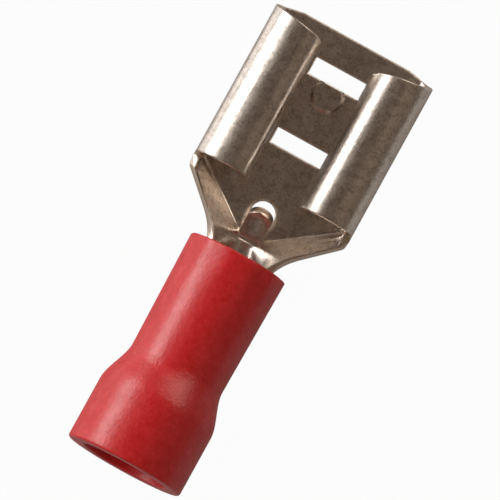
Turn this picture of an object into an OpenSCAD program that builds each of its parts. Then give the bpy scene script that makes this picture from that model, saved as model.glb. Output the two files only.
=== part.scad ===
// Female spade terminal: a contact folded from one strip, in one moulded insulating sleeve.
// The origin is the centre of the sleeve's wire mouth. +Y runs along the barrel towards the
// tab's way in, and +Z points to the side on which the rolls stand. All sizes are millimetres.

/* [Strip] */
// Thickness of the brass strip
sheet_t = 0.4; // [0.3:0.01:0.5]
// Steps in which each bend of the strip turns
bend_steps = 10; // [4:1:16]

/* [Mating tab] */
// Width of the tab that the receptacle takes
tab_w = 6.3; // [5.5:0.1:8]
// Thickness of that tab
tab_t = 0.8; // [0.5:0.05:0.95]
// Room beside the tab at each side wall
tab_side_room = 0.24; // [0.1:0.01:0.4]
// Room between the tab and the lips above it
tab_lip_room = 0.02; // [0.01:0.01:0.08]

/* [Receptacle] */
// Length from the floor's front edge to the rear end of the rolls
receptacle_l = 7.53; // [6.8:0.01:9]
// Inside radius of the bend between the floor and a side wall
corner_r = 0.3; // [0.2:0.05:0.5]
// Height of the rolls above the underside of the floor
roll_h = 2.64; // [2.6:0.02:3.2]
// Outside radius of the outward half of both rolls
roll_r = 1.32; // [1:0.02:1.5]
// Outside radius of the inward half of the left roll
left_lip_r = 1.15; // [0.8:0.01:1.25]
// Outside radius of the inward half of the right roll
right_lip_r = 1.24; // [0.8:0.01:1.25]
// Width of the straight middle of the floor's front edge
front_flat_w = 5.1; // [3:0.1:6]
// Angle at which the front edge falls back beyond its straight middle
front_taper = 10.8; // [0:0.2:14]

/* [Windows] */
// Width of both windows in the floor
window_w = 2.4; // [1.5:0.1:3]
// Distance from the front edge to the front window
front_window_at = 1.37; // [0.8:0.01:1.6]
// Length of the front window
front_window_l = 0.82; // [0.4:0.02:1.2]
// Distance from the front edge to the rear window
rear_window_at = 4.79; // [4:0.01:5.4]
// Length of the rear window
rear_window_l = 0.75; // [0.4:0.02:1.2]

/* [Locking dimple] */
// Distance from the front edge to the middle of the dimple
dimple_at = 2.68; // [2.3:0.01:3.2]
// Diameter of the dimple at the floor's top face
dimple_d = 1.47; // [1.2:0.05:1.9]
// Height of the dimple's flat top above the floor's top face
dimple_h = 0.2; // [0.1:0.01:0.3]
// Height that the dimple's ball would have without the flat top
dimple_ball_h = 0.4; // [0.32:0.01:0.5]

/* [Shoulder] */
// Distance from the front edge to the corner where each side turns in
shoulder_at = 8.19; // [7.9:0.01:8.4]
// Angle between each side of the shoulder and the barrel's axis
shoulder_angle = 46.7; // [42:0.5:52]
// Angle between each fold line of the shoulder and the barrel's axis
fold_angle = 53.3; // [48:0.5:58]
// Height of the flanges' edges above the underside of the floor
flange_h = 1.25; // [1:0.05:1.5]
// Width over which the corner between wall and shoulder is eased
corner_blend = 0.25; // [0.1:0.05:0.5]
// Width over which the shoulder eases into the barrel
neck_blend = 1; // [0.6:0.1:1.2]
// Distance from the front edge to where the folds begin to open into the barrel's round
round_from = 9.3; // [9:0.1:10]
// Number of sections from which the shoulder is lofted
shoulder_sections = 24; // [12:1:36]

/* [Wire stop] */
// Distance from the front edge to the tip of the stop's cut-out
stop_at = 7.85; // [7.6:0.01:8]
// Length of the tongue from its root to its tip
stop_l = 1.76; // [1.3:0.01:1.9]
// Width of the tongue
stop_w = 1; // [0.7:0.02:1.1]
// Angle by which the tongue stands up from the floor
stop_angle = 50; // [30:1:60]
// Gap cut around the tongue
stop_kerf = 0.03; // [0.02:0.01:0.06]

/* [Crimp barrel] */
// Inside diameter of the barrel
barrel_id = 2.2; // [1.9:0.05:2.6]
// Length of the barrel
barrel_l = 4.9; // [4:0.1:5.4]
// Width of the butt seam along its top
seam_w = 0.06; // [0.04:0.01:0.12]
// Length of the barrel that is covered before the sleeve's front face is reached
barrel_cover = 0.5; // [0.4:0.05:0.8]

/* [Sleeve] */
// Length of the contact that stands out of the sleeve
exposed_l = 10.68; // [10.4:0.01:12]
// Length of the sleeve
sleeve_l = 10.1; // [9.8:0.1:12]
// Gap all round between the barrel and the sleeve
sleeve_fit = 0.02; // [0.01:0.01:0.04]
// Wall of the sleeve behind the barrel's front end
sleeve_wall = 0.65; // [0.5:0.01:0.8]
// How far the sleeve's outside has widened at its front face
front_rise = 0.085; // [0:0.005:0.12]
// How far the sleeve's inside opens at its front face, to let the shoulder in
lead_in = 0.25; // [0.2:0.01:0.35]
// Length of that opening
lead_in_l = 0.8; // [0.6:0.05:1.2]
// Inside diameter of the wire mouth
mouth_id = 3.9; // [3.4:0.05:4.4]
// Wall of the wire mouth
mouth_wall = 0.73; // [0.5:0.01:0.9]
// Straight length of the wire mouth
mouth_l = 2.78; // [2:0.01:3.4]
// Length of the flare between the mouth and the barrel
flare_l = 2; // [1.2:0.1:2.4]
// Radius of the edges of the sleeve's end faces
rim_r = 0.12; // [0.05:0.01:0.2]

/* [Hidden] */
$fn = 96;
metal = [0.62, 0.57, 0.52];
vinyl = [0.76, 0.10, 0.13];
cut_over = 1; // how far every cutter runs past what it cuts

barrel_r = barrel_id / 2 + sheet_t;             // outside of the barrel
mid_r = barrel_id / 2 + sheet_t / 2;            // middle of the barrel's wall
corner_mid_r = corner_r + sheet_t / 2;
inner_half_w = tab_w / 2 + tab_side_room;
floor_half_w = inner_half_w - corner_r;         // flat half of the floor
wall_mid_x = inner_half_w + sheet_t / 2;
wall_l = roll_h - roll_r - corner_r - sheet_t;  // straight part of a side wall
lip_z = sheet_t + tab_t + tab_lip_room;         // underside of the lips, above the floor's underside
front_y = sleeve_l + exposed_l;
floor_z = -barrel_r;                            // underside of the floor
barrel_front_y = sleeve_l - barrel_cover;
barrel_rear_y = barrel_front_y - barrel_l;
sleeve_bore_r = barrel_r + sleeve_fit;
trough_lap = 0.25;  // how far the shoulder's end runs on inside the barrel's wall
lap_thinning = 0.3; // share of its thickness that the shoulder loses by then, to stay inside that wall
least_flange = 0.001; // length of the flange where it has run out into the barrel's round

// Place behind the floor's front edge, as a height along Y
function behind_front(d) = front_y - d;

// --- The strip: a pose is [x, z, heading, length so far] at the middle of its thickness ---

function straight(p, l) = [p[0] + l * cos(p[2]), p[1] + l * sin(p[2]), p[2], p[3] + l];
function bend(p, r, a) = [
    p[0] + r * (sin(p[2] + a) - sin(p[2])),
    p[1] - r * (cos(p[2] + a) - cos(p[2])),
    p[2] + a,
    p[3] + r * a * PI / 180
];
function last(list) = list[len(list) - 1];

// Poses along runs of [straight length, bend radius, bend angle], one after the other
function strip(poses, runs, i = 0) =
    i == len(runs) ? poses :
    let (flat_end = straight(last(poses), runs[i][0]),
         bent = runs[i][2] == 0 ? [] :
             [for (k = [1:bend_steps]) bend(flat_end, runs[i][1], runs[i][2] * k / bend_steps)],
         flat = runs[i][0] > 0 ? [flat_end] : [])
    strip(concat(poses, flat, bent), runs, i + 1);

START = [0, 0, 0, 0];
function mirrored(p) = [-p[0], p[1], -p[2], p[3]];
// A whole section, from the left edge to the right edge, out of two halves that start at the middle
function whole(left, right) =
    concat([for (i = [len(left) - 1:-1:1]) mirrored(left[i])], right);

// Closed ring of points around a section whose poses each have their own y
function ring(poses, ys, t) =
    let (n = len(poses) - 1,
         side = function(i, s)
             [poses[i][0] - s * t / 2 * sin(poses[i][2]), ys[i],
              floor_z + sheet_t / 2 + poses[i][1] + s * t / 2 * cos(poses[i][2])])
    concat([for (i = [0:n]) side(i, 1)], [for (i = [n:-1:0]) side(i, -1)]);

// Solid between rings that follow each other along +Y
module loft(rings) {
    n = len(rings[0]);
    m = n / 2;
    ends = len(rings) - 1;
    sides = [for (j = [0:ends - 1], i = [0:n - 1])
        let (k = (i + 1) % n) [j * n + i, (j + 1) * n + i, (j + 1) * n + k, j * n + k]];
    rear_cap = [for (i = [0:m - 2]) [i, i + 1, n - 2 - i, n - 1 - i]];
    front_cap = [for (i = [0:m - 2]) [for (c = [n - 1 - i, n - 2 - i, i + 1, i]) ends * n + c]];
    polyhedron([for (r = rings, p = r) p], concat(sides, rear_cap, front_cap), convexity = 8);
}

// --- Receptacle ---

// Half of its section: floor, corner, wall, and the roll over to a lip that ends above the tab
function receptacle_half(lip_r) = strip([START], [
    [floor_half_w, corner_mid_r, 90],
    [wall_l, roll_r - sheet_t / 2, 90],
    [0, lip_r - sheet_t / 2, 90],
    [roll_h - lip_r - lip_z, 0, 0]
]);

// Where the strip's front edge lies, at length s from the middle of the floor
function front_edge_y(s) = front_y - tan(front_taper) * max(0, s - front_flat_w / 2);

module receptacle() {
    section = whole(receptacle_half(left_lip_r), receptacle_half(right_lip_r));
    rear = [for (p = section) behind_front(receptacle_l)];
    front = [for (p = section) front_edge_y(p[3])];
    loft([ring(section, rear, sheet_t), ring(section, front, sheet_t)]);
}

// Slot right through the floor, its front side d behind the front edge
module window(d, l) {
    translate([-window_w / 2, behind_front(d + l), floor_z - cut_over])
        cube([window_w, l, sheet_t + 2 * cut_over]);
}

// Ball whose cap forms the dimple's side; the inner one is smaller by the strip's thickness
module dimple_ball(shrink) {
    r = (pow(dimple_d / 2, 2) + pow(dimple_ball_h, 2)) / (2 * dimple_ball_h);
    translate([0, behind_front(dimple_at), floor_z + sheet_t + dimple_ball_h - r])
        sphere(r - shrink, $fn = 48);
}

module dimple_cap() {
    intersection() {
        dimple_ball(0);
        translate([-dimple_d, behind_front(dimple_at) - dimple_d, floor_z + sheet_t / 2])
            cube([2 * dimple_d, 2 * dimple_d, sheet_t / 2 + dimple_h]);
    }
}

// --- Shoulder: sections of floor, bend and flange that turn into the barrel's round ---

// The smaller of a and b, and the larger, eased where they differ by less than k
function eased_min(a, b, k) = min(a, b) - pow(max(k - abs(a - b), 0) / k, 2) * k / 4;
function eased_max(a, b, k) = -eased_min(-a, -b, k);
function ease(t) = let (c = min(max(t, 0), 1)) c * c * (3 - 2 * c);
function blend(a, b, t) = a + (b - a) * t;

barrel_at = front_y - barrel_front_y; // distance from the front edge to the barrel

// Middle of the flange's edge, d behind the front edge
function edge_x(d) = eased_max(mid_r,
    eased_min(wall_mid_x, wall_mid_x - tan(shoulder_angle) * (d - shoulder_at), corner_blend), neck_blend);
function roundness(d) = ease((d - round_from) / (barrel_at - round_from));
function edge_z(d) = blend(flange_h - sheet_t / 2, mid_r, roundness(d));
function bend_r(d) = blend(corner_mid_r, mid_r, roundness(d));
function flat_half(d) =
    eased_max(0, floor_half_w - tan(fold_angle) * (d - receptacle_l), corner_blend);

// Half section: the flat floor, one bend, and a straight flange that ends at the edge
function shoulder_half(d) =
    let (x = edge_x(d) - flat_half(d), z = edge_z(d) - bend_r(d),
         flange = sqrt(max(x * x + z * z - pow(bend_r(d), 2), 0)),
         turn = atan2(z, x) + atan2(bend_r(d), flange),
         floor_end = straight(START, flat_half(d)),
         bent = [for (k = [0:bend_steps]) bend(floor_end, bend_r(d), turn * k / bend_steps)])
    concat([START], bent, [straight(last(bent), max(flange, least_flange))]);

function thinned(d) = sheet_t * (1 - lap_thinning * ease((d - barrel_at + trough_lap) / (2 * trough_lap)));

module shoulder() {
    l = barrel_at + trough_lap - receptacle_l;
    ds = [for (i = [shoulder_sections:-1:0]) receptacle_l + l * i / shoulder_sections];
    loft([for (d = ds)
        let (half = shoulder_half(d), section = whole(half, half))
        ring(section, [for (p = section) behind_front(d)], thinned(d))]);
}

// --- Wire stop: a tongue cut free of the floor and bent up about its root ---

stop_root_at = stop_at + stop_l;

// The tongue's outline in the flat, with its root along X and its round tip towards +Y
module stop_outline(grow) {
    r = stop_w / 2 + grow;
    translate([-r, 0]) square([2 * r, stop_l + grow - r]);
    translate([0, stop_l + grow - r]) circle(r, $fn = 48);
}

module stop_hole() {
    translate([0, behind_front(stop_root_at), floor_z - cut_over])
        linear_extrude(sheet_t + 2 * cut_over) stop_outline(stop_kerf);
}

module stop_tongue() {
    translate([0, behind_front(stop_root_at), floor_z])
        rotate([stop_angle, 0, 0])
            linear_extrude(sheet_t) stop_outline(0);
}

// --- Crimp barrel ---

module barrel() {
    translate([0, barrel_rear_y, 0]) rotate([-90, 0, 0]) cylinder(r = barrel_r, h = barrel_l);
}

module barrel_bore() {
    translate([0, barrel_rear_y - cut_over, 0]) rotate([-90, 0, 0])
        cylinder(d = barrel_id, h = barrel_l + cut_over);
    translate([-seam_w / 2, barrel_rear_y - cut_over, 0])
        cube([seam_w, barrel_l + cut_over, barrel_r + cut_over]);
}

module contact() {
    color(metal) {
        difference() {
            union() {
                receptacle();
                shoulder();
                dimple_cap();
                barrel();
            }
            barrel_bore();
            window(front_window_at, front_window_l);
            window(rear_window_at, rear_window_l);
            dimple_ball(sheet_t);
            stop_hole();
        }
        stop_tongue();
    }
}

// --- Insulating sleeve ---

flare_steps = 16;
waist_r = sleeve_bore_r + sleeve_wall;
mouth_r = mouth_id / 2 + mouth_wall;
front_r = waist_r + front_rise;

// Flare from radius r1 at the mouth to r2 over the barrel, as points of [radius, height]
function flare(r1, r2) = [for (i = [0:flare_steps])
    let (t = i / flare_steps) [blend(r1, r2, ease(t)), mouth_l + flare_l * t]];
// Quarter round of an outer edge, from angle a, about [r, h]
function rim(r, h, a) = [for (i = [0:6]) [r + rim_r * cos(a + 15 * i), h + rim_r * sin(a + 15 * i)]];
function reversed(list) = [for (i = [len(list) - 1:-1:0]) list[i]];

module insulating_sleeve() {
    outside = concat(rim(mouth_r - rim_r, rim_r, -90), flare(mouth_r, waist_r),
        rim(front_r - rim_r, sleeve_l - rim_r, 0));
    inside = concat([[mouth_id / 2, 0]], flare(mouth_id / 2, sleeve_bore_r),
        [[sleeve_bore_r, sleeve_l - lead_in_l], [sleeve_bore_r + lead_in, sleeve_l]]);
    color(vinyl) rotate([-90, 0, 0]) rotate_extrude() polygon(concat(outside, reversed(inside)));
}

contact();
insulating_sleeve();
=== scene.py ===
"""Female spade terminal: the looks of its folded contact and of its moulded insulating sleeve.

The contact is made as a press makes it: a flat blank is pierced, its edges are broken, and every point
of it is then carried to its place on the folded form. The sleeve is its wall's section, spun once round.
Meshes are built in millimetres and put into metres at the end.
"""

import logging
import math
from collections.abc import Iterator, Sequence
from dataclasses import dataclass, field
from enum import Enum

import bmesh
import bpy
from bmesh.types import BMEdge, BMesh, BMFace, BMVert
from mathutils import Matrix, Vector


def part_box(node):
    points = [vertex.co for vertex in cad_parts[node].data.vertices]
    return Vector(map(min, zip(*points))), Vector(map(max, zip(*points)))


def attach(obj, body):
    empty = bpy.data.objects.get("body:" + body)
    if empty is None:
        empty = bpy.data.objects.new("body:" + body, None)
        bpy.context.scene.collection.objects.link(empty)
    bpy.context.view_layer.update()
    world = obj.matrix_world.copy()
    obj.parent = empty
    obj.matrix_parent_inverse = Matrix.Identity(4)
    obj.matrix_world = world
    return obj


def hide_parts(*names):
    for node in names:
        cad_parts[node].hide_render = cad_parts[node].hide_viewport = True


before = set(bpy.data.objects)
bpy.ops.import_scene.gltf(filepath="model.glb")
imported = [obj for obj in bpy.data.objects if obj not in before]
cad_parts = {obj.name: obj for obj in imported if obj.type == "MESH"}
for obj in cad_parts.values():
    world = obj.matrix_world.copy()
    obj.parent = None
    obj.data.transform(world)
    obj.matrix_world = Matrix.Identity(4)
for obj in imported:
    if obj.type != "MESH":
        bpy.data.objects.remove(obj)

LOG = logging.getLogger("terminal")
MM = 0.001  # one millimetre in metres
WHITE_STRENGTH = 1.0  # the emission at which a surface shows plain white
Colour = tuple[float, float, float]


# --- Laws of form that several parts share ---


def mix(a: float, b: float, t: float) -> float:
    """Returns the value that lies the share t of the way from a to b."""
    return a + (b - a) * t


def ease(t: float) -> float:
    """Returns 0 to 1 as t goes from 0 to 1, with no kink at either end."""
    held = min(max(t, 0.0), 1.0)
    return held * held * (3.0 - 2.0 * held)


def eased_min(a: float, b: float, width: float) -> float:
    """Returns the smaller of a and b, rounded off where they differ by less than width."""
    return min(a, b) - (max(width - abs(a - b), 0.0) / width) ** 2 * width / 4.0


def eased_max(a: float, b: float, width: float) -> float:
    """Returns the larger of a and b, rounded off where they differ by less than width."""
    return -eased_min(-a, -b, width)


def ladder(marks: Sequence[float], pitches: Sequence[float]) -> list[float]:
    """Divides each stretch between two marks evenly.

    Args:
        marks: The places that the ladder must have a rung at, in order.
        pitches: The widest gap between two rungs, one for each stretch.

    Returns:
        All rungs, from the first mark to the last.
    """
    rungs = [marks[0]]
    for start, end, pitch in zip(marks, marks[1:], pitches):
        count = max(1, round(abs(end - start) / pitch))
        rungs += [mix(start, end, k / count) for k in range(1, count + 1)]
    return rungs


@dataclass(frozen=True)
class Run:
    """A stretch of the folded strip's section: straight first, then one bend.

    The radius is that of the middle of the strip's thickness, and the turn is in radians.
    """

    straight: float
    radius: float = 0.0
    turn: float = 0.0


@dataclass(frozen=True)
class Place:
    """A place on the middle line of a section, and the way in which the line goes on from it."""

    x: float
    z: float
    heading: float


def place_along(runs: Sequence[Run], length: float) -> Place:
    """Follows a section's middle line from the middle of the floor outwards.

    Args:
        runs: The section's runs, in order. Past the last, the line goes straight on.
        length: How far to go along it.

    Returns:
        The place that is reached.
    """
    x = z = heading = 0.0
    left = length
    for run in runs:
        step = min(left, run.straight)
        x += step * math.cos(heading)
        z += step * math.sin(heading)
        left -= step
        arc = min(left, run.radius * run.turn)
        if arc > 0.0:
            after = heading + arc / run.radius
            x += run.radius * (math.sin(after) - math.sin(heading))
            z -= run.radius * (math.cos(after) - math.cos(heading))
            heading = after
            left -= arc
    return Place(x + left * math.cos(heading), z + left * math.sin(heading), heading)


# --- Mesh helpers ---


def close_ring(bm: BMesh, outline: Sequence[Vector]) -> list[BMVert]:
    """Makes a closed ring of edges.

    Args:
        bm: The mesh to make it in.
        outline: The ring's corners, in order.

    Returns:
        Its vertices, in the same order.
    """
    ring = [bm.verts.new(place) for place in outline]
    for pair in zip(ring, [*ring[1:], ring[0]]):
        bm.edges.new(pair)
    return ring


def widen_ring(bm: BMesh, ring: Sequence[BMVert], outline: Sequence[Vector]) -> list[BMVert]:
    """Extrudes a closed ring of edges onto an outline with as many corners.

    Args:
        bm: The mesh that holds the ring.
        ring: The ring's vertices, in order.
        outline: Where the new ring's corners go, in the same order.

    Returns:
        The new ring's vertices, in the same order.
    """
    edges = [bm.edges.get(pair) for pair in zip(ring, [*ring[1:], ring[0]])]
    made = bmesh.ops.extrude_edge_only(bm, edges=edges)
    twins = {vert.co.copy().freeze(): vert for vert in made["geom"] if isinstance(vert, BMVert)}
    widened = [twins[vert.co.copy().freeze()] for vert in ring]
    for vert, place in zip(widened, outline):
        vert.co = place
    return widened


def bevel(bm: BMesh, edges: Sequence[BMEdge], offset: float, segments: int) -> None:
    """Rounds edges of a mesh with a circular profile.

    Args:
        bm: The mesh.
        edges: The edges to round.
        offset: How far from each edge the rounding begins.
        segments: How many faces wide it is.
    """
    bmesh.ops.bevel(
        bm,
        geom=list(edges),
        offset=offset,
        offset_type="OFFSET",
        segments=segments,
        profile=0.5,
        affect="EDGES",
        clamp_overlap=False,
        material=-1,
    )


def object_from(bm: BMesh, name: str) -> bpy.types.Object:
    """Makes an object at the origin from a mesh in millimetres, and frees the mesh.

    Args:
        bm: The finished mesh. It is put into metres here.
        name: The object's name.

    Returns:
        The new object, linked to the scene, with smooth faces.
    """
    bmesh.ops.scale(bm, vec=Vector((MM, MM, MM)), verts=bm.verts)
    for face in bm.faces:
        face.smooth = True
    mesh = bpy.data.meshes.new(name)
    bm.to_mesh(mesh)
    bm.free()
    made = bpy.data.objects.new(name, mesh)
    bpy.context.scene.collection.objects.link(made)
    return made


# --- Finishes ---


class Graph:
    """A node tree under construction, with short calls to add nodes and to join them."""

    def __init__(self, tree: bpy.types.NodeTree) -> None:
        """Takes the tree that nodes are added to."""
        self.tree = tree

    def node(self, kind: str, **settings: object) -> bpy.types.Node:
        """Adds a node.

        Args:
            kind: The node's type, without its "ShaderNode" in front.
            settings: The node's own settings, by name.

        Returns:
            The new node.
        """
        made = self.tree.nodes.new("ShaderNode" + kind)
        for name, value in settings.items():
            setattr(made, name, value)
        return made

    def join(self, source: bpy.types.NodeSocket, target: bpy.types.NodeSocket) -> None:
        """Links an output to an input."""
        self.tree.links.new(source, target)

    def math(self, operation: str, *values: object) -> bpy.types.NodeSocket:
        """Adds a Math node.

        Args:
            operation: What it works out, such as "MULTIPLY".
            values: Its inputs in order, each a number or an output to link.

        Returns:
            Its result.
        """
        made = self.node("Math", operation=operation)
        for value, target in zip(values, made.inputs):
            if isinstance(value, bpy.types.NodeSocket):
                self.join(value, target)
            else:
                target.default_value = value
        return made.outputs[0]

    def blend(self, share: bpy.types.NodeSocket, a: object, b: object) -> bpy.types.NodeSocket:
        """Adds a node that mixes two colours.

        Args:
            share: How much of the second colour shows, from 0 to 1.
            a: The first colour, or an output to link.
            b: The second colour, or an output to link.

        Returns:
            The mixed colour.
        """
        made = self.node("Mix", data_type="RGBA")
        self.join(share, made.inputs[0])
        for value, target in ((a, made.inputs[6]), (b, made.inputs[7])):
            if isinstance(value, bpy.types.NodeSocket):
                self.join(value, target)
            else:
                target.default_value = (*value, 1.0)
        return made.outputs[2]

    def spread(self, value: bpy.types.NodeSocket, low: float, high: float) -> bpy.types.NodeSocket:
        """Maps a value that runs from 0 to 1 onto the range from low to high."""
        made = self.node("MapRange")
        self.join(value, made.inputs["Value"])
        made.inputs["To Min"].default_value = low
        made.inputs["To Max"].default_value = high
        return made.outputs["Result"]

    def relief(self, height: bpy.types.NodeSocket) -> bpy.types.NodeSocket:
        """Adds a Bump node.

        Args:
            height: The surface's height in metres.

        Returns:
            The bumped normal.
        """
        made = self.node("Bump")
        made.inputs["Strength"].default_value = 1.0
        made.inputs["Distance"].default_value = 1.0
        self.join(height, made.inputs["Height"])
        return made.outputs["Normal"]

    def millimetres(self, stretch: Vector = Vector((1.0, 1.0, 1.0))) -> bpy.types.NodeSocket:
        """Adds the object's own coordinates in millimetres.

        Args:
            stretch: How densely a pattern repeats along each axis.

        Returns:
            The coordinates.
        """
        place = self.node("TexCoord")
        turned = self.node("Mapping")
        turned.inputs["Scale"].default_value = stretch / MM
        self.join(place.outputs["Object"], turned.inputs["Vector"])
        return turned.outputs["Vector"]


def new_group(name: str, values: dict[str, float], outputs: Sequence[str]) -> tuple[Graph, dict, dict]:
    """Starts a shader node group with a vector input and named values.

    Args:
        name: The group's name.
        values: Its number inputs and their defaults.
        outputs: The names of its number outputs.

    Returns:
        The group's graph, its inputs by name, and its outputs by name.
    """
    tree = bpy.data.node_groups.new(name, "ShaderNodeTree")
    tree.interface.new_socket(name="Vector", in_out="INPUT", socket_type="NodeSocketVector")
    for label, value in values.items():
        socket = tree.interface.new_socket(name=label, in_out="INPUT", socket_type="NodeSocketFloat")
        socket.default_value = value
    for label in outputs:
        tree.interface.new_socket(name=label, in_out="OUTPUT", socket_type="NodeSocketFloat")
    start = tree.nodes.new("NodeGroupInput")
    end = tree.nodes.new("NodeGroupOutput")
    graph = Graph(tree)
    return graph, {item.name: item for item in start.outputs}, {item.name: item for item in end.inputs}


def grain_group() -> bpy.types.NodeTree:
    """Makes the fine grain that both finishes have: two sizes of noise, laid over each other."""
    graph, given, out = new_group("fine_grain", {"Per millimetre": 8.0, "Coarse share": 0.4}, ["Grain"])
    fine = graph.node("TexNoise", noise_dimensions="3D")
    fine.inputs["Detail"].default_value = 2.0
    coarse = graph.node("TexNoise", noise_dimensions="3D")
    coarse.inputs["Detail"].default_value = 1.0
    for noise, size in ((fine, 1.0), (coarse, 0.35)):
        graph.join(given["Vector"], noise.inputs["Vector"])
        graph.join(graph.math("MULTIPLY", given["Per millimetre"], size), noise.inputs["Scale"])
    laid = graph.node("Mix", data_type="FLOAT")
    graph.join(given["Coarse share"], laid.inputs[0])
    graph.join(fine.outputs[0], laid.inputs[2])
    graph.join(coarse.outputs[0], laid.inputs[3])
    graph.join(laid.outputs[0], out["Grain"])
    return graph.tree


def cloud_group() -> bpy.types.NodeTree:
    """Makes the soft patches in which both finishes are a little lighter or darker."""
    graph, given, out = new_group("soft_patches", {"Per millimetre": 0.6, "Hardness": 1.6}, ["Patch"])
    noise = graph.node("TexNoise", noise_dimensions="3D")
    noise.inputs["Detail"].default_value = 3.0
    graph.join(given["Vector"], noise.inputs["Vector"])
    graph.join(given["Per millimetre"], noise.inputs["Scale"])
    centred = graph.math("SUBTRACT", noise.outputs[0], 0.5)
    sharpened = graph.math("MULTIPLY_ADD", centred, given["Hardness"], 0.5)
    held = graph.node("Clamp")
    graph.join(sharpened, held.inputs["Value"])
    graph.join(held.outputs[0], out["Patch"])
    return graph.tree


def use_group(graph: Graph, group: bpy.types.NodeTree, vector: bpy.types.NodeSocket, **values: float) -> dict:
    """Places a group in a material.

    Args:
        graph: The material's graph.
        group: The group.
        vector: The coordinates that it reads.
        values: Its number inputs, by name with "_" for a blank.

    Returns:
        Its outputs by name.
    """
    made = graph.node("Group", node_tree=group)
    graph.join(vector, made.inputs["Vector"])
    for name, value in values.items():
        made.inputs[name.replace("_", " ")].default_value = value
    return {item.name: item for item in made.outputs}


CUT_EDGE = "cut_edge"  # the face attribute that is 1 where the press has sheared the strip


@dataclass(frozen=True)
class TinPlate:
    """Dull tin plating on brass strip, with grain, drawn lines, soft stains and bare sheared edges."""

    light: Colour = (0.90, 0.815, 0.735)
    dark: Colour = (0.60, 0.53, 0.465)
    brass: Colour = (0.80, 0.67, 0.55)
    roughness: tuple[float, float] = (0.25, 0.36)
    grain_per_mm: float = 9.0
    grain_coarse_share: float = 0.45
    grain_height: float = 0.009
    grain_contrast: float = 5.0
    lines_per_mm: float = 11.0
    lines_coarse_share: float = 0.5
    line_stretch: float = 0.05
    line_height: float = 0.004
    line_contrast: float = 0.25
    line_wear: float = 0.08
    stains_per_mm: float = 0.55
    stain_hardness: float = 1.8
    stain_contrast: float = 0.55

    def material(self, grain: bpy.types.NodeTree, patches: bpy.types.NodeTree) -> bpy.types.Material:
        """Builds the finish.

        Args:
            grain: The group of the fine grain.
            patches: The group of the soft patches.

        Returns:
            The material.
        """
        made = bpy.data.materials.new("dull_tin_plate")
        made.use_nodes = True
        graph = Graph(made.node_tree)
        shader = made.node_tree.nodes["Principled BSDF"]
        shader.inputs["Metallic"].default_value = 1.0
        plain = graph.millimetres()
        drawn = graph.millimetres(Vector((1.0, self.line_stretch, 1.0)))
        fine = use_group(
            graph, grain, plain, Per_millimetre=self.grain_per_mm, Coarse_share=self.grain_coarse_share
        )["Grain"]
        lines = use_group(
            graph, grain, drawn, Per_millimetre=self.lines_per_mm, Coarse_share=self.lines_coarse_share
        )["Grain"]
        stain = use_group(
            graph, patches, plain, Per_millimetre=self.stains_per_mm, Hardness=self.stain_hardness
        )["Patch"]
        speckle = graph.math("MULTIPLY_ADD", fine, self.grain_contrast, -self.grain_contrast / 2)
        shade = graph.math("ADD", graph.spread(stain, 0.0, self.stain_contrast), speckle)
        streaked = graph.math("ADD", shade, graph.spread(lines, -self.line_contrast, self.line_contrast))
        plated = graph.blend(streaked, self.light, self.dark)
        bare = graph.node("Attribute", attribute_name=CUT_EDGE)
        graph.join(graph.blend(bare.outputs["Fac"], plated, self.brass), shader.inputs["Base Color"])
        wear = graph.spread(lines, -self.line_wear, self.line_wear)
        worn = graph.math("ADD", wear, graph.spread(stain, *self.roughness))
        graph.join(worn, shader.inputs["Roughness"])
        ridges = graph.math("MULTIPLY", lines, self.line_height * MM)
        height = graph.math("MULTIPLY_ADD", fine, self.grain_height * MM, ridges)
        graph.join(graph.relief(height), shader.inputs["Normal"])
        return made


@dataclass(frozen=True)
class RedVinyl:
    """Satin red vinyl, with the faint mottle and grain that its mould leaves."""

    bright: Colour = (0.80, 0.026, 0.034)
    deep: Colour = (0.66, 0.001, 0.003)
    roughness: tuple[float, float] = (0.26, 0.36)
    grain_per_mm: float = 9.0
    grain_coarse_share: float = 0.5
    grain_height: float = 0.024
    grain_contrast: float = 2.6
    grain_gloss: float = 0.10
    mottle_per_mm: float = 0.9
    mottle_hardness: float = 1.5
    mottle: tuple[float, float] = (0.2, 0.8)
    glow_depth: float = 0.8
    glow_by_colour: Colour = (1.0, 0.2, 0.15)

    def material(self, grain: bpy.types.NodeTree, patches: bpy.types.NodeTree) -> bpy.types.Material:
        """Builds the finish.

        Args:
            grain: The group of the fine grain.
            patches: The group of the soft patches.

        Returns:
            The material.
        """
        made = bpy.data.materials.new("satin_red_vinyl")
        made.use_nodes = True
        graph = Graph(made.node_tree)
        shader = made.node_tree.nodes["Principled BSDF"]
        shader.inputs["IOR"].default_value = 1.54
        shader.inputs["Specular IOR Level"].default_value = 0.85
        shader.inputs["Subsurface Weight"].default_value = 0.3
        shader.inputs["Subsurface Radius"].default_value = self.glow_by_colour
        shader.inputs["Subsurface Scale"].default_value = self.glow_depth * MM
        plain = graph.millimetres()
        fine = use_group(
            graph, grain, plain, Per_millimetre=self.grain_per_mm, Coarse_share=self.grain_coarse_share
        )["Grain"]
        mottle = use_group(
            graph, patches, plain, Per_millimetre=self.mottle_per_mm, Hardness=self.mottle_hardness
        )["Patch"]
        speckle = graph.math("MULTIPLY_ADD", fine, self.grain_contrast, -self.grain_contrast / 2)
        share = graph.math("ADD", speckle, graph.spread(mottle, *self.mottle))
        graph.join(graph.blend(share, self.bright, self.deep), shader.inputs["Base Color"])
        gloss = graph.math("MULTIPLY_ADD", fine, self.grain_gloss, graph.spread(mottle, *self.roughness))
        graph.join(gloss, shader.inputs["Roughness"])
        height = graph.math("MULTIPLY", fine, self.grain_height * MM)
        graph.join(graph.relief(height), shader.inputs["Normal"])
        return made


# --- The contact ---


class Side(Enum):
    """The two sides of the contact, by the sign of X."""

    LEFT = -1
    RIGHT = 1


@dataclass(frozen=True)
class Strip:
    """The brass strip that the contact is folded from."""

    thickness: float = 0.4
    broken_edge: float = 0.05
    broken_edge_steps: int = 2


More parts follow.
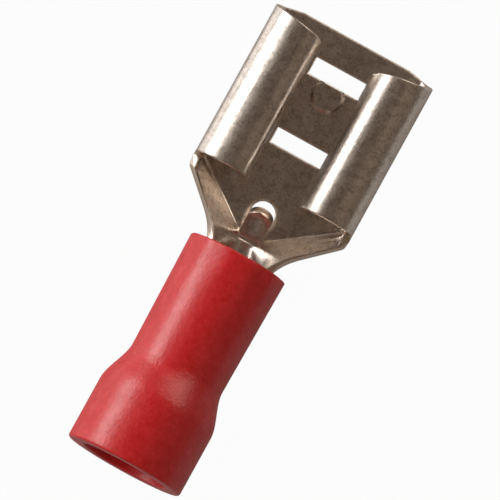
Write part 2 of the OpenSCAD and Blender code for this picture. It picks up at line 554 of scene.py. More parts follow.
@dataclass(frozen=True)
class Receptacle:
    """The front of the contact: a floor, two walls, and two rolls whose lips end above the tab."""

    length: float = 7.53
    corner_r: float = 0.5
    half_width: float = 3.59
    roll_top: float = 2.64
    rise_turn: float = math.radians(45.0)
    rise_r: dict[Side, float] = field(default_factory=lambda: {Side.LEFT: 1.0, Side.RIGHT: 1.32})
    crown_r: dict[Side, float] = field(default_factory=lambda: {Side.LEFT: 1.8, Side.RIGHT: 1.32})
    lip_r: dict[Side, float] = field(default_factory=lambda: {Side.LEFT: 0.9, Side.RIGHT: 1.24})
    lip_underside: float = 1.22
    front_flat_w: float = 5.1
    front_taper: float = math.radians(10.8)

    @property
    def floor_half(self) -> float:
        """Half the width of the flat floor."""
        return self.half_width - self.corner_r

    def wall(self, strip: Strip, side: Side) -> float:
        """Returns the height of the straight stretch of a wall."""
        share = math.sin(self.rise_turn)
        bent = mix(self.crown_r[side], self.rise_r[side], share)
        return self.roll_top - bent - (self.corner_r + strip.thickness / 2)

    def runs(self, strip: Strip, side: Side) -> list[Run]:
        """Works out the section of one half, from the middle of the floor to the lip.

        Args:
            strip: The strip that it is folded from.
            side: The half.

        Returns:
            The section's runs, in order.
        """
        half = strip.thickness / 2
        quarter = math.pi / 2
        lip = self.lip_r[side]
        return [
            Run(self.floor_half, self.corner_r, quarter),
            Run(self.wall(strip, side), self.rise_r[side] - half, self.rise_turn),
            Run(0.0, self.crown_r[side] - half, quarter - self.rise_turn),
            Run(0.0, lip - half, quarter),
            Run(self.roll_top - lip - self.lip_underside),
        ]

    def marks(self, strip: Strip, side: Side) -> list[float]:
        """Measures where along the strip each bend begins and ends.

        Args:
            strip: The strip that the section is folded from.
            side: The half.

        Returns:
            The lengths along the strip, in order, with the lip's end at last.
        """
        marks = [0.0]
        for run in self.runs(strip, side):
            marks += [marks[-1] + run.straight, marks[-1] + run.straight + run.radius * run.turn]
        return marks[1:]

    def front_setback(self, along: float) -> float:
        """Returns how far the front edge has fallen back at a distance along the strip."""
        return math.tan(self.front_taper) * max(0.0, along - self.front_flat_w / 2)


@dataclass(frozen=True)
class Shoulder:
    """The flanged neck that turns the flat floor into the barrel's round."""

    corner_at: float = 8.19
    swell_out: float = 0.05
    swell_l: float = 0.25
    side_angle: float = math.radians(46.7)
    fold_angle: float = math.radians(53.3)
    flange_height: float = 1.25
    corner_blend: float = 0.1
    neck_blend: float = 1.0
    round_from: float = 9.05
    relief_r: float = 0.2


@dataclass(frozen=True)
class Window:
    """A slot pierced through the floor."""

    front: float
    length: float
    half_width: float = 1.2


@dataclass(frozen=True)
class Dimple:
    """The round boss in the floor that snaps into the hole of the mating tab."""

    middle: float = 2.68
    radius: float = 0.735
    height: float = 0.15
    rim: float = 0.13

    def rise(self, x: float, behind: float) -> float:
        """Returns how far the boss lifts the floor.

        Args:
            x: Distance from the middle of the floor.
            behind: Distance behind the front edge.

        Returns:
            The lift, 0 outside the boss.
        """
        away = math.hypot(x, behind - self.middle)
        return self.height * ease((self.radius - away) / self.rim)


@dataclass(frozen=True)
class WireStop:
    """The tongue cut from the floor in front of the barrel, and bent up about its root."""

    front: float = 7.85
    length: float = 1.76
    width: float = 1.0
    angle: float = math.radians(50.0)
    bend_r: float = 0.35
    kerf: float = 0.03
    broken_edge: float = 0.012
    drawn_in: float = 0.04
    drawn_width: float = 0.24
    spread_out: float = 0.05
    ring_widths: tuple[float, ...] = (0.03, 0.06, 0.11, 0.17, 0.24)
    clearance: float = 0.1
    flattened_over: float = 3.0
    arc_steps: int = 20
    side_steps: int = 12
    bend_steps: int = 6

    @property
    def root(self) -> float:
        """How far behind the front edge the tongue's root is."""
        return self.front + self.length

    def tip(self, front_y: float, grow: float, start_y: float) -> list[Vector]:
        """Draws the outline from its right side round the tip to its left side, without its ends.

        Args:
            front_y: The front edge's place along Y.
            grow: How far outside the tongue the outline runs.
            start_y: Where along Y both sides begin.

        Returns:
            Its corners, in order.
        """
        r = self.width / 2 + grow
        centre_y = front_y - self.root + self.length - self.width / 2
        sides = [mix(start_y, centre_y, k / self.side_steps) for k in range(1, self.side_steps)]
        turns = [math.pi * k / self.arc_steps for k in range(self.arc_steps + 1)]
        round_tip = [Vector((r * math.cos(turn), centre_y + r * math.sin(turn), 0.0)) for turn in turns]
        right = [Vector((r, y, 0.0)) for y in sides]
        left = [Vector((-r, y, 0.0)) for y in reversed(sides)]
        return [*right, *round_tip, *left]

    def ring(self, front_y: float, grow: float) -> list[Vector]:
        """Returns the opening's outline, or one round it, anticlockwise from its left root corner.

        Args:
            front_y: The front edge's place along Y.
            grow: How far outside the tongue the outline runs.

        Returns:
            Its corners. The second and third are the ends of the tongue's root.
        """
        r = self.width / 2 + grow
        root_y = front_y - self.root - (grow - self.kerf)
        root = [Vector((x, root_y, 0.0)) for x in (-r, -self.width / 2, self.width / 2, r)]
        return [*root, *self.tip(front_y, grow, root_y)]

    def beyond_side(self, x: float, behind: float) -> float:
        """Returns how far a point in front of the root lies outside the tongue's outline."""
        past_centre = max(0.0, self.root - behind - (self.length - self.width / 2))
        return math.hypot(x, past_centre) - self.width / 2

    def reach(self, x: float, behind: float) -> float:
        """Returns how far from the root a point of the tongue is, or 0 if the point isn't on it."""
        on_it = behind < self.root and self.beyond_side(x, behind) < self.kerf / 2
        return self.root - behind if on_it else 0.0

    def sink(self, x: float, behind: float) -> float:
        """Returns how far the opening's edge has drawn the floor's top face down.

        Args:
            x: Distance from the middle of the floor.
            behind: Distance behind the front edge.

        Returns:
            The drop, 0 away from the opening.
        """
        away = abs(self.beyond_side(x, min(behind, self.root)) - self.kerf)
        back = max(0.0, behind - self.root)
        share = max(0.0, 1.0 - math.hypot(away, back) / self.drawn_width)
        return self.drawn_in * share * share


@dataclass(frozen=True)
class Barrel:
    """The crimp barrel: the strip rolled round until its edges all but meet."""

    front: float = 11.18
    length: float = 4.9
    middle_r: float = 1.3
    seam: float = 0.06

    @property
    def half_round(self) -> float:
        """Length along the strip from the barrel's bottom to its side."""
        return self.middle_r * math.pi / 2

    @property
    def seam_at(self) -> float:
        """Length along the strip from the barrel's bottom to its seam."""
        return self.middle_r * math.pi - self.seam / 2


@dataclass(frozen=True)
class Pitches:
    """How finely the blank is divided, in millimetres."""

    floor: float = 0.11
    bend: float = 0.08
    roll: float = 0.11
    along_rolls: float = 0.15
    along_shoulder: float = 0.08
    along_barrel: float = 0.35
    relief_steps: int = 6
    dimple_cuts: int = 3


@dataclass
class Contact:
    """The female contact: receptacle, shoulder with its wire stop, and crimp barrel, all one strip."""

    front_y: float
    floor_z: float
    strip: Strip = field(default_factory=Strip)
    receptacle: Receptacle = field(default_factory=Receptacle)
    shoulder: Shoulder = field(default_factory=Shoulder)
    barrel: Barrel = field(default_factory=Barrel)
    dimple: Dimple = field(default_factory=Dimple)
    stop: WireStop = field(default_factory=WireStop)
    windows: tuple[Window, ...] = (Window(1.37, 0.82), Window(4.79, 0.75))
    pitches: Pitches = field(default_factory=Pitches)
    columns_of: dict[Side, tuple[list[float], list[float]]] = field(default_factory=dict)

    # The section at each distance behind the front edge

    def turned(self, behind: float) -> float:
        """Returns how far the shoulder has gone from its flat form, 0, to the barrel's round, 1."""
        start = self.shoulder.round_from
        return ease((behind - start) / (self.barrel.front - start))

    def shoulder_runs(self, behind: float, side: Side) -> list[Run]:
        """Works out the shoulder's half section: flat floor, one bend, and a flange.

        Args:
            behind: Distance behind the front edge.
            side: The half.

        Returns:
            The section's runs, the last of which carries the flange on into the relief.
        """
        neck, hopper = self.shoulder, self.receptacle
        sloped = hopper.half_width - math.tan(neck.side_angle) * (behind - neck.corner_at)
        full = hopper.half_width + neck.swell_out * ease((behind - hopper.length) / neck.swell_l)
        edge_x = eased_max(self.barrel.middle_r, eased_min(full, sloped, neck.corner_blend), neck.neck_blend)
        folded = hopper.floor_half - math.tan(neck.fold_angle) * (behind - hopper.length)
        flat = eased_max(0.0, folded, neck.corner_blend)
        share = self.turned(behind)
        edge_z = mix(neck.flange_height - self.strip.thickness / 2, self.barrel.middle_r, share)
        radius = mix(hopper.corner_r, self.barrel.middle_r, share)
        x, z = edge_x - flat, edge_z - radius
        flange = math.sqrt(max(x * x + z * z - radius * radius, 0.0))
        turn = math.atan2(z, x) + math.atan2(radius, flange)
        half = self.strip.thickness / 2
        run_on = hopper.wall(self.strip, side) - (neck.flange_height - half - hopper.corner_r)
        rise = Run(run_on, hopper.rise_r[side] - half, hopper.rise_turn)
        return [Run(flat, radius, turn), Run(flange), rise]

    def flange_edge(self, behind: float) -> float:
        """Returns how far along the strip the shoulder's outline lies.

        Args:
            behind: Distance behind the front edge.

        Returns:
            The length along the strip, widened by the relief's quarter round right behind the rolls.
        """
        flat_bend, flange = self.shoulder_runs(behind, Side.RIGHT)[:2]
        edge = flat_bend.straight + flat_bend.radius * flat_bend.turn + flange.straight
        r = self.shoulder.relief_r
        left = max(0.0, r - (behind - self.receptacle.length))
        return edge + r - math.sqrt(r * r - left * left)

    def runs_at(self, behind: float, side: Side) -> list[Run]:
        """Returns the half section at a distance behind the front edge."""
        if behind <= self.receptacle.length:
            return self.receptacle.runs(self.strip, side)
        if behind < self.barrel.front:
            return self.shoulder_runs(behind, side)
        return [Run(0.0, self.barrel.middle_r, math.pi)]

    # The flat blank

    def rows(self) -> list[float]:
        """Returns the distances behind the front edge at which the blank has a row of vertices."""
        pitch = self.pitches
        r = self.shoulder.relief_r
        end = self.receptacle.length
        marks = [0.0]
        for window in self.windows:
            marks += [window.front, window.front + window.length]
        rolls = ladder([*marks, end], [pitch.along_rolls] * len(marks))
        quarter = [math.pi / 2 * k / pitch.relief_steps for k in range(1, pitch.relief_steps)]
        relief = [end + r * (1.0 - math.cos(turn)) for turn in quarter]
        barrel_rear = self.barrel.front + self.barrel.length
        rest = ladder([end + r, self.barrel.front, barrel_rear], [pitch.along_shoulder, pitch.along_barrel])
        return [*rolls, *relief, *rest]

    def columns(self, side: Side) -> tuple[list[float], list[float]]:
        """Divides half of the receptacle's section.

        Args:
            side: The half.

        Returns:
            The lengths along the strip of the columns that go on into the shoulder, and of those that end
            with the rolls.
        """
        pitch = self.pitches
        marks = self.receptacle.marks(self.strip, side)
        floor_end, corner_end, wall_end = marks[:3]
        roll_end, _, lip_bend_end, lip_end = marks[-5:-1]
        shared_end = self.flange_edge(self.receptacle.length)
        window = self.windows[0].half_width
        shared = ladder(
            [0.0, window, floor_end, corner_end, wall_end, shared_end],
            [pitch.floor, pitch.floor, pitch.bend, pitch.roll, pitch.roll],
        )
        own = ladder([shared_end, roll_end, lip_bend_end, lip_end], [pitch.roll, pitch.bend, pitch.roll])
        return shared, own[1:]

    def flat_length(self, side: Side, column: int, row_at: float) -> float:
        """Returns how far along the strip a column lies in a row of the blank.

        Args:
            side: The half that the column belongs to.
            column: The column, counted from the middle of the floor.
            row_at: The row's distance behind the front edge.

        Returns:
            The length along the strip.
        """
        shared, own = self.columns_of[side]
        last = len(shared) - 1
        if column > last:
            if row_at <= self.receptacle.length:
                return own[column - last - 1]
            return mix(self.barrel.half_round, self.barrel.seam_at, (column - last) / len(own))
        if row_at <= self.receptacle.length:
            return shared[column]
        edge = self.flange_edge(min(row_at, self.barrel.front))
        if row_at >= self.barrel.front:
            edge = self.barrel.half_round
        start, end = self.receptacle.length, self.barrel.front
        evenly = ease((row_at - start) / (end - start))
        return edge * mix(shared[column] / shared[-1], column / last, evenly)

    def blank(self) -> BMesh:
        """Makes the pierced blank: a flat sheet with no thickness, X along the strip and Y forwards."""
        rows = self.rows()
        self.columns_of = {side: self.columns(side) for side in Side}
        per_half = max(sum(map(len, halves)) for halves in self.columns_of.values()) - 1
        self.even_out(per_half)
        bm = bmesh.new()
        bmesh.ops.create_grid(bm, x_segments=2 * per_half, y_segments=len(rows) - 1, size=1.0)
        places: dict[BMVert, tuple[int, int]] = {}
        for vert in bm.verts:
            column = round(vert.co.x * per_half)
            row = round((1.0 - vert.co.y) / 2.0 * (len(rows) - 1))
            places[vert] = (column, row)
        first_mark = rows.index(self.windows[0].front)
        for vert, (column, row) in places.items():
            side = Side.LEFT if column < 0 else Side.RIGHT
            along = self.flat_length(side, abs(column), rows[row])
            setback = self.receptacle.front_setback(along) * max(0.0, 1.0 - row / first_mark)
            vert.co = (side.value * along, self.front_y - rows[row] - setback, 0.0)
        shared_last = len(self.columns_of[Side.LEFT][0]) - 1
        rolls_end = rows.index(self.receptacle.length)
        barrel_start = rows.index(self.barrel.front)
        spare = []
        for face in bm.faces:
            columns = [abs(places[vert][0]) for vert in face.verts]
            face_rows = [places[vert][1] for vert in face.verts]
            beside_neck = max(columns) > shared_last and rolls_end < max(face_rows) <= barrel_start
            if beside_neck or self.in_window(face):
                spare.append(face)
        bmesh.ops.delete(bm, geom=spare, context="FACES")
        return bm

    def even_out(self, per_half: int) -> None:
        """Gives both halves the same number of columns, by dividing the shorter one's lip anew."""
        for side, (shared, own) in self.columns_of.items():
            missing = per_half + 1 - len(shared) - len(own)
            marks = self.receptacle.marks(self.strip, side)
            last_bend, lip_end = marks[-3:-1]
            before = [length for length in own if length <= last_bend + 1e-9]
            count = len(own) - len(before) + missing
            lip = [mix(last_bend, lip_end, k / count) for k in range(1, count + 1)]
            self.columns_of[side] = (shared, before + lip)

    def beside_stop(self, edge: BMEdge) -> bool:
        """Says whether an edge of the blank is part of the wire stop's tongue or opening."""
        return all(
            self.stop.beyond_side(vert.co.x, self.front_y - vert.co.y) < 2.0 * self.stop.kerf
            and self.front_y - vert.co.y < self.stop.root + self.stop.kerf
            for vert in edge.verts
        )

    def in_window(self, face: BMFace) -> bool:
        """Says whether a face of the blank lies in one of the windows."""
        centre = face.calc_center_median()
        behind = self.front_y - centre.y
        return any(
            abs(centre.x) < window.half_width and window.front < behind < window.front + window.length
            for window in self.windows
        )

    def pierce_stop(self, bm: BMesh) -> None:
        """Cuts the wire stop's tongue free of the blank, all but its root."""
        stop = self.stop
        margin = stop.ring_widths[-1] + stop.clearance
        half = stop.width / 2 + margin

        def cleared(face: BMFace) -> bool:
            """Says whether a face of the blank makes room for the rings round the opening."""
            places = [(abs(vert.co.x), self.front_y - vert.co.y - stop.front) for vert in face.verts]
            near = all(x < half + stop.clearance and -margin - stop.clearance < y for x, y in places)
            return near and any(x < half and -margin < y < stop.length + margin for x, y in places)

        spare = dict.fromkeys(face for face in bm.faces if cleared(face))
        edges = dict.fromkeys(edge for face in spare for edge in face.edges)
        rim = [edge for edge in edges if not all(face in spare for face in edge.link_faces)]
        bmesh.ops.delete(bm, geom=list(spare), context="FACES")
        opening = close_ring(bm, stop.ring(self.front_y, stop.kerf))
        ring = opening
        for grow in stop.ring_widths[1:]:
            ring = widen_ring(bm, ring, stop.ring(self.front_y, grow))
        outer = [bm.edges.get(pair) for pair in zip(ring, [*ring[1:], ring[0]])]
        bmesh.ops.triangle_fill(bm, use_beauty=True, use_dissolve=False, edges=[*rim, *outer])
        root = [opening[1], opening[2]]
        outline = stop.tip(self.front_y, 0.0, self.front_y - stop.root)
        loop = [*root, *(bm.verts.new(place) for place in outline)]
        edges = [bm.edges.get(pair) or bm.edges.new(pair) for pair in zip(loop, [*loop[1:], loop[0]])]
        tongue = bmesh.ops.edgeloop_fill(bm, edges=edges)["faces"]
        for step in range(1, stop.bend_steps + 1):
            row_y = self.front_y - stop.root + stop.bend_r * stop.angle * step / stop.bend_steps
            parts = dict.fromkeys(part for face in tongue for part in (*face.edges, *face.verts))
            cut = bmesh.ops.bisect_plane(
                bm, geom=[*tongue, *parts], dist=1e-5, plane_co=(0.0, row_y, 0.0), plane_no=(0.0, 1.0, 0.0)
            )
            tongue = [item for item in cut["geom"] if isinstance(item, BMFace)]

    def refine_dimple(self, bm: BMesh) -> None:
        """Divides the thickened blank more finely where the dimple will rise."""
        reach = self.dimple.radius + self.pitches.floor
        middle = Vector((0.0, self.front_y - self.dimple.middle))
        edges = [e for e in bm.edges if all((v.co.xy - middle).length < reach for v in e.verts)]
        bmesh.ops.subdivide_edges(bm, edges=edges, cuts=self.pitches.dimple_cuts, use_grid_fill=True)

    # From the blank to the folded form

    def folded(self, flat: Vector) -> Vector:
        """Carries a point of the blank to its place on the folded contact.

        Args:
            flat: Length along the strip, place along Y, and height above the middle of its thickness.

        Returns:
            The point's place on the contact.
        """
        side = Side.LEFT if flat.x < 0.0 else Side.RIGHT
        behind = self.front_y - flat.y
        reach = self.stop.reach(flat.x, behind)
        if reach > 0.0:
            return self.on_tongue(flat, reach)
        place = place_along(self.runs_at(behind, side), abs(flat.x))
        height = flat.z
        drawn = self.stop.sink(flat.x, behind) * (0.5 + height / self.strip.thickness)
        lift = self.dimple.rise(flat.x, behind) - drawn
        x = place.x - height * math.sin(place.heading)
        z = self.floor_z + self.strip.thickness / 2 + place.z + height * math.cos(place.heading) + lift
        return Vector((side.value * x, flat.y, z))

    def on_tongue(self, flat: Vector, reach: float) -> Vector:
        """Carries a point of the tongue to its place, bent up about the root.

        Args:
            flat: The point in the blank.
            reach: Its distance from the root.

        Returns:
            The point's place on the contact.
        """
        stop = self.stop
        turn = min(stop.angle, reach / stop.bend_r)
        rest = reach - turn * stop.bend_r
        forward = stop.bend_r * math.sin(turn) + rest * math.cos(turn) - flat.z * math.sin(turn)
        up = stop.bend_r * (1.0 - math.cos(turn)) + rest * math.sin(turn) + flat.z * math.cos(turn)
        root = place_along(self.runs_at(stop.root, Side.RIGHT), abs(flat.x))
        flattened = root.z * max(0.0, 1.0 - reach / (stop.flattened_over * stop.bend_r))
        z = self.floor_z + self.strip.thickness / 2 + up + flattened
        spread = 1.0 + stop.spread_out / (stop.width / 2) * ease(reach / stop.bend_r)
        return Vector((flat.x * spread, self.front_y - stop.root + forward, z))

    def build(self) -> bpy.types.Object:
        """Makes the contact: pierces the blank, thickens it, breaks its edges and folds it.

        Returns:
            The contact's object.
        """
        bm = self.blank()
        self.pierce_stop(bm)
        half = self.strip.thickness / 2
        bmesh.ops.translate(bm, vec=Vector((0.0, 0.0, -half)), verts=bm.verts)
        thick = bmesh.ops.extrude_face_region(bm, geom=bm.faces[:])
        top = [item for item in thick["geom"] if isinstance(item, BMVert)]
        bmesh.ops.translate(bm, vec=Vector((0.0, 0.0, 2.0 * half)), verts=top)
        bmesh.ops.recalc_face_normals(bm, faces=bm.faces[:])
        bm.normal_update()
        level = [edge for edge in bm.edges if abs(edge.verts[0].co.z - edge.verts[1].co.z) < half]
        rims = [edge for edge in level if edge.calc_face_angle(0.0) > math.radians(60.0)]
        stop_rims = [edge for edge in rims if self.beside_stop(edge)]
        bevel(bm, stop_rims, self.stop.broken_edge, 1)
        rims = [edge for edge in rims if edge.is_valid]
        bevel(bm, rims, self.strip.broken_edge, self.strip.broken_edge_steps)
        self.refine_dimple(bm)
        bm.normal_update()
        sheared = bm.faces.layers.float.new(CUT_EDGE)
        for face in bm.faces:
            face[sheared] = 1.0 if abs(face.normal.z) < 0.5 else 0.0
        for vert in bm.verts:
            vert.co = self.folded(vert.co)
        made = object_from(bm, "folded_contact")
        LOG.info("contact: %d faces", len(made.data.polygons))
        return made


# --- The sleeve ---


@dataclass
class InsulatingSleeve:
    """The moulded sleeve: a tube over the barrel, a flare, and a wider mouth for the wire."""

    length: float
    mouth_outer_r: float
    bore_r: float = 1.52
    waist_r: float = 2.17
    front_rise: float = 0.085
    lead_in: float = 0.25
    lead_in_l: float = 0.8
    mouth_r: float = 1.95
    mouth_l: float = 2.78
    flare_l: float = 2.0
    rim_r: float = 0.12
    front_rim_r: float = 0.07
    inner_rim_r: float = 0.08
    lobes: int = 12
    lobe_height: float = 0.015
    lobe_l: float = 2.6
    lobe_turn: float = math.radians(21.0)
    lobe_rings: int = 14
    flare_steps: int = 28
    rim_steps: int = 5
    turns: int = 144

    def arc(self, r: float, y: float, radius: float, start: float) -> Iterator[tuple[float, float]]:
        """Draws a quarter round.

        Args:
            r: The radius at which its centre lies.
            y: Its centre's place along Y.
            radius: Its own radius.
            start: The angle in degrees from which it turns.

        Yields:
            Its points, each a radius and a place along Y.
        """
        for k in range(self.rim_steps + 1):
            turn = math.radians(start + 90.0 * k / self.rim_steps)
            yield r + radius * math.cos(turn), y + radius * math.sin(turn)

    def flare(self, mouth: float, waist: float) -> list[tuple[float, float]]:
        """Returns a wall's flare from the mouth's radius to the waist's, with its place along Y."""
        shares = [k / self.flare_steps for k in range(self.flare_steps + 1)]
        return [(mix(mouth, waist, ease(t)), self.mouth_l + self.flare_l * t) for t in shares]

    def lobe_rows(self, front_r: float) -> list[tuple[float, float]]:
        """Returns the outside's radius and place along Y at the rings that carry the lobes."""
        start = self.length - self.lobe_l
        waist_l = self.length - self.mouth_l - self.flare_l
        rows = []
        for k in range(self.lobe_rings):
            y = mix(start, self.length - 2.0 * self.front_rim_r, k / (self.lobe_rings - 1))
            rows.append((mix(front_r, self.waist_r, (self.length - y) / waist_l), y))
        return rows

    def lobe(self, place: Vector) -> float:
        """Returns how far the gripping lobes move a point of the outside outwards."""
        share = ease((place.y - self.length + self.lobe_l) / self.lobe_l)
        turn = math.atan2(place.x, place.z) - self.lobe_turn
        return self.lobe_height * share * math.cos(self.lobes * turn)

    def section(self) -> list[tuple[float, float]]:
        """Returns the wall's section as a closed line of radius and place along Y."""
        front_r = self.waist_r + self.front_rise
        front_bore = self.bore_r + self.lead_in
        outside = [
            *self.arc(self.mouth_outer_r - self.rim_r, self.rim_r, self.rim_r, -90.0),
            *self.flare(self.mouth_outer_r, self.waist_r),
            *self.lobe_rows(front_r),
            *self.arc(front_r - self.front_rim_r, self.length - self.front_rim_r, self.front_rim_r, 0.0),
        ]
        inside = [
            *self.arc(front_bore + self.inner_rim_r, self.length - self.inner_rim_r, self.inner_rim_r, 90.0),
            (self.bore_r, self.length - self.lead_in_l),
            *reversed(self.flare(self.mouth_r, self.bore_r)),
            *self.arc(self.mouth_r + self.inner_rim_r, self.inner_rim_r, self.inner_rim_r, 180.0),
        ]
        return outside + inside

    def build(self) -> bpy.types.Object:
        """Makes the sleeve by spinning its wall's section once round.

        Returns:
            The sleeve's object.
        """
        bm = bmesh.new()
        verts = [bm.verts.new((radius, y, 0.0)) for radius, y in self.section()]
        edges = [bm.edges.new(pair) for pair in zip(verts, [*verts[1:], verts[0]])]
        bmesh.ops.spin(
            bm,
            geom=[*verts, *edges],
            cent=(0.0, 0.0, 0.0),
            axis=(0.0, 1.0, 0.0),
            angle=math.tau,
            steps=self.turns,
            use_merge=True,
        )
        bmesh.ops.remove_doubles(bm, verts=bm.verts, dist=1e-4)
        bmesh.ops.recalc_face_normals(bm, faces=bm.faces[:])
        for vert in bm.verts:
            radius = math.hypot(vert.co.x, vert.co.z)
            if radius > self.waist_r - self.front_rim_r:
                grown = 1.0 + self.lobe(vert.co) / radius
                vert.co = Vector((vert.co.x * grown, vert.co.y, vert.co.z * grown))
        made = object_from(bm, "vinyl_sleeve")
        LOG.info("sleeve: %d faces", len(made.data.polygons))
        return made


# --- Stage, lamps and camera ---


@dataclass(frozen=True)
class Stage:
    """The plain white table that the terminal lies on, tilted as far as the terminal lies tilted."""

    size: float = 0.8
    rear_rest: Vector = Vector((0.0, 0.0, 0.0))
    front_rest: Vector = Vector((0.0, 0.0, 0.0))
    albedo: Colour = (0.50, 0.49, 0.48)
    gloss_roughness: float = 0.25
    ior: float = 2.5
    shadow_share: float = 0.03
    mirrored_share: float = 0.9

    def build(self) -> None:
        """Makes the table through the two lines on which the terminal rests."""
        slope = math.atan2(self.front_rest.z - self.rear_rest.z, self.front_rest.y - self.rear_rest.y)
        bm = bmesh.new()
        bmesh.ops.create_grid(bm, x_segments=1, y_segments=1, size=self.size / 2)
        bmesh.ops.rotate(bm, cent=(0.0, 0.0, 0.0), matrix=Matrix.Rotation(slope, 3, "X"), verts=bm.verts)
        bmesh.ops.translate(bm, vec=self.rear_rest, verts=bm.verts)
        mesh = bpy.data.meshes.new("table")
        bm.to_mesh(mesh)
        bm.free()
        table = bpy.data.objects.new("table", mesh)
        bpy.context.scene.collection.objects.link(table)
        mesh.materials.append(self.material())

    def material(self) -> bpy.types.Material:
        """Builds the table's white, which shows plainly to the camera and in reflections."""
        made = bpy.data.materials.new("white_table")
        made.use_nodes = True
        graph = Graph(made.node_tree)
        shader = made.node_tree.nodes["Principled BSDF"]
        shader.inputs["Base Color"].default_value = (*self.albedo, 1.0)
        shader.inputs["Roughness"].default_value = self.gloss_roughness
        shader.inputs["IOR"].default_value = self.ior
        glow = graph.node("Emission")
        glow.inputs["Strength"].default_value = WHITE_STRENGTH
        ray = graph.node("LightPath")
        mirrored = graph.math("MAXIMUM", ray.outputs["Is Glossy Ray"], ray.outputs["Is Transmission Ray"])
        in_metal = graph.math("MULTIPLY", mirrored, 1.0 - self.mirrored_share)
        plain = graph.math("MULTIPLY", ray.outputs["Is Camera Ray"], 1.0 - self.shadow_share)
        share = graph.math("MAXIMUM", plain, in_metal)
        blend = graph.node("MixShader")
        graph.join(share, blend.inputs[0])
        graph.join(shader.outputs[0], blend.inputs[1])
        graph.join(glow.outputs[0], blend.inputs[2])
        output = made.node_tree.nodes["Material Output"]
        graph.join(blend.outputs[0], output.inputs["Surface"])
        return made


@dataclass(frozen=True)
class Softbox:
    """A rectangular lamp that faces the terminal.

    The azimuth is counted from +X towards +Y and the elevation from the table, both in degrees.
    """

    name: str
    azimuth: float
    elevation: float
    width: float
    height: float
    radiance: float
    mirrored: bool = True
    colour: Colour = (1.0, 1.0, 1.0)
    distance: float = 0.4

    def build(self, aim: Vector) -> None:
        """Makes the lamp. Where it isn't mirrored, it only lights, and shows in no gloss.

        Args:
            aim: The point that it faces.
        """
        lamp = bpy.data.lights.new(self.name, "AREA")
        lamp.shape = "RECTANGLE"
        lamp.size = self.width
        lamp.size_y = self.height
        lamp.energy = self.radiance * math.pi * self.width * self.height
        lamp.color = self.colour
        azimuth, elevation = math.radians(self.azimuth), math.radians(self.elevation)
        level = math.cos(elevation)
        away = Vector((level * math.cos(azimuth), level * math.sin(azimuth), math.sin(elevation)))
        made = bpy.data.objects.new(self.name, lamp)
        made.location = aim + away * self.distance
        made.rotation_euler = away.to_track_quat("Z", "Y").to_euler()
        made.visible_glossy = self.mirrored
        bpy.context.scene.collection.objects.link(made)


@dataclass(frozen=True)
class Surroundings:
    """The room: pale on the left, dim elsewhere, dimmest overhead, and plain white to the camera."""

    left: Colour = (0.42, 0.40, 0.38)
    right: Colour = (0.12, 0.095, 0.075)
    overhead: Colour = (0.145, 0.113, 0.088)
    zenith: Colour = (0.085, 0.061, 0.048)
    left_to_right: tuple[float, float] = (-0.7, 0.3)
    level_to_overhead: tuple[float, float] = (0.05, 0.75)
    overhead_to_zenith: tuple[float, float] = (0.82, 0.98)

    def build(self) -> None:
        """Sets the world's light."""
        world = bpy.data.worlds.new("studio")
        bpy.context.scene.world = world
        world.use_nodes = True
        graph = Graph(world.node_tree)
        plain = world.node_tree.nodes["Background"]
        place = graph.node("TexCoord")
        split = graph.node("SeparateXYZ")
        graph.join(place.outputs["Generated"], split.inputs[0])
        sideways = self.fade(graph, split.outputs["X"], self.left_to_right)
        upwards = self.fade(graph, split.outputs["Z"], self.level_to_overhead)
        topmost = self.fade(graph, split.outputs["Z"], self.overhead_to_zenith)
        level = graph.blend(sideways, self.left, self.right)
        high = graph.blend(upwards, level, self.overhead)
        graph.join(graph.blend(topmost, high, self.zenith), plain.inputs["Color"])
        white = graph.node("Background")
        white.inputs["Strength"].default_value = WHITE_STRENGTH
        ray = graph.node("LightPath")
        blend = graph.node("MixShader")
        graph.join(ray.outputs["Is Camera Ray"], blend.inputs[0])
        graph.join(plain.outputs[0], blend.inputs[1])
        graph.join(white.outputs[0], blend.inputs[2])
        graph.join(blend.outputs[0], world.node_tree.nodes["World Output"].inputs["Surface"])

    def fade(
        self, graph: Graph, value: bpy.types.NodeSocket, ends: tuple[float, float]
    ) -> bpy.types.NodeSocket:
        """Adds a node that fades smoothly from one colour to the next.

        Args:
            graph: The world's graph.
            value: What the fade goes by.
            ends: The values at which it starts and ends.

        Returns:
            A share from 0 to 1.
        """
        made = graph.node("MapRange", interpolation_type="SMOOTHSTEP")
        graph.join(value, made.inputs["Value"])
        for name, end in zip(("From Min", "From Max"), ends):
            made.inputs[name].default_value = end
        return made.outputs["Result"]


@dataclass(frozen=True)
class LongLens:
    """The camera: nearly overhead, and turned so that the contact points up to the right."""

    aim: Vector
    field_width: float
    tilt: float = math.radians(6.0)
    turn: float = math.radians(28.9)
    focal: float = 1000.0
    sensor: float = 36.0

    def build(self) -> None:
        """Makes the camera and hands it to the scene."""
        lens = bpy.data.cameras.new("long_lens")
        lens.lens = self.focal
        lens.sensor_width = self.sensor
        lens.clip_start = 1.0 * MM
        lens.clip_end = 10.0
        back = Vector((0.0, -math.sin(self.tilt), math.cos(self.tilt)))
        across = Vector((1.0, 0.0, 0.0))
        along = back.cross(across)
        right = across * math.cos(self.turn) + along * math.sin(self.turn)
        up = along * math.cos(self.turn) - across * math.sin(self.turn)
        made = bpy.data.objects.new("long_lens", lens)
        made.rotation_euler = Matrix((right, up, back)).transposed().to_euler()
        made.location = self.aim + back * (self.field_width * self.focal / self.sensor)
        bpy.context.scene.collection.objects.link(made)
        bpy.context.scene.camera = made


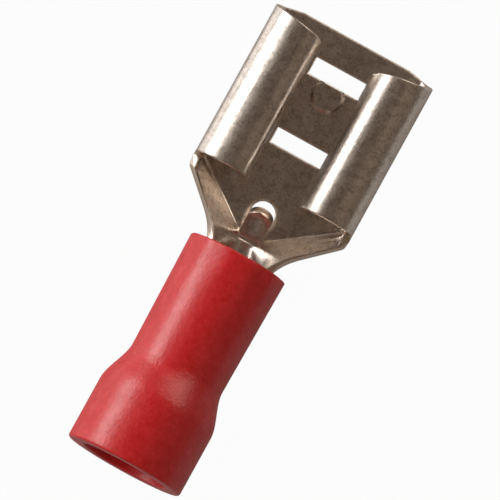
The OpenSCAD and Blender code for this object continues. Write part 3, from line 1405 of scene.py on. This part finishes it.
@dataclass
class Studio:
    """The table, the lamps, the room and the camera."""

    lowest_rear: Vector
    lowest_front: Vector
    aim: Vector
    field_width: float
    lamps: tuple[Softbox, ...] = (
        Softbox("left_softbox", azimuth=172.0, elevation=24.0, width=0.34, height=0.17, radiance=4.4),
        Softbox("fill", azimuth=200.0, elevation=50.0, width=0.30, height=0.30, radiance=1.2, mirrored=False),
        Softbox(
            "far_lamp",
            azimuth=72.0,
            elevation=38.0,
            width=0.36,
            height=0.14,
            radiance=2.0,
            colour=(1.0, 0.86, 0.74),
        ),
    )

    def build(self) -> None:
        """Sets up everything that isn't the terminal."""
        Stage(rear_rest=self.lowest_rear, front_rest=self.lowest_front).build()
        for lamp in self.lamps:
            lamp.build(self.aim)
        Surroundings().build()
        LongLens(self.aim, self.field_width).build()
        bpy.context.scene.view_settings.view_transform = "Standard"
        LOG.info("studio: %d lamps", len(self.lamps))


# --- The whole ---


def main() -> None:
    """Builds the terminal and its studio, and keeps both boxes."""
    logging.basicConfig(level=logging.INFO, format="%(name)s: %(message)s")
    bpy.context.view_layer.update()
    contact_low, contact_high = (Vector(corner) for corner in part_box("contact"))
    sleeve_low, sleeve_high = (Vector(corner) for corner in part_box("insulating_sleeve"))
    grain, patches = grain_group(), cloud_group()

    contact = Contact(front_y=contact_high.y / MM, floor_z=contact_low.z / MM).build()
    contact.data.materials.append(TinPlate().material(grain, patches))
    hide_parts("contact")
    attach(contact, "root")

    sleeve = InsulatingSleeve(length=sleeve_high.y / MM, mouth_outer_r=sleeve_high.z / MM).build()
    sleeve.data.materials.append(RedVinyl().material(grain, patches))
    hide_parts("insulating_sleeve")
    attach(sleeve, "root")

    middle_y = (contact_high.y + sleeve_low.y) / 2
    Studio(
        lowest_rear=Vector((0.0, 0.0, sleeve_low.z)),
        lowest_front=Vector((0.0, contact_high.y, contact_low.z)),
        aim=Vector((0.269 * MM, middle_y + 0.26 * MM, 0.0)),
        field_width=21.19 * MM,
    ).build()


if __name__ == "__main__":
    main()
